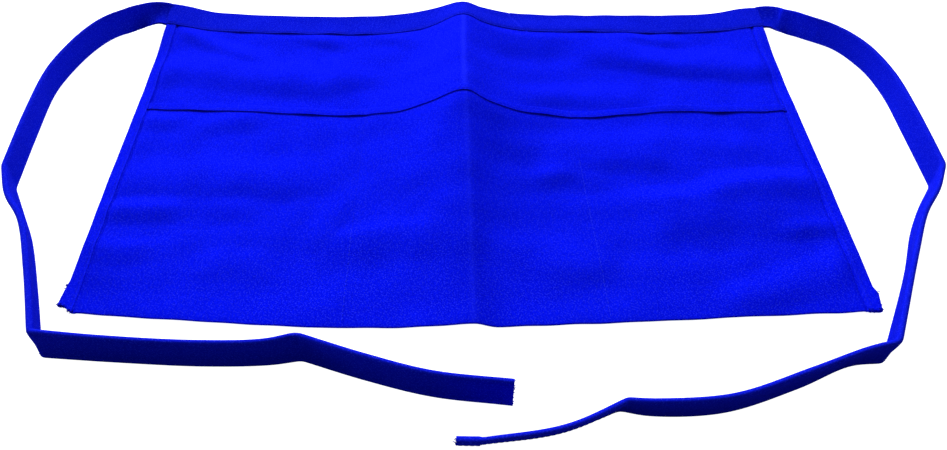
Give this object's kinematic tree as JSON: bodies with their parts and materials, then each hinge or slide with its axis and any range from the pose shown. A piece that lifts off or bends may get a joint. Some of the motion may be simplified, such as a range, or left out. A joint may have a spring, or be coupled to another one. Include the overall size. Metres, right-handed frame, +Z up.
{
  "type": "waist apron",
  "caption": "Waist apron of plain twill lying flat, with a stitched pocket row across the front, a folded waistband, bound sides and long free ties laid round to the front.",
  "frame": {"origin": "under the middle of the bounding box, on the surface the apron lies on", "axes": "+X across the apron from its left side to its right as pictured, +Y from the bottom fold to the waist, +Z up"},
  "size_m": [0.653, 0.4142, 0.0309],
  "materials": {
    "panel_twill": "matte royal blue twill",
    "tape_twill": "matte royal blue twill, folded as tape",
    "binding_twill": "matte royal blue twill, folded as a narrow strip"
  },
  "bodies": {
    "root": {"apron_panel": "panel_twill", "waistband": "tape_twill", "tie_left": "tape_twill", "tie_right": "tape_twill", "side_binding_left": "binding_twill", "side_binding_right": "binding_twill"}
  },
  "joints": []
}
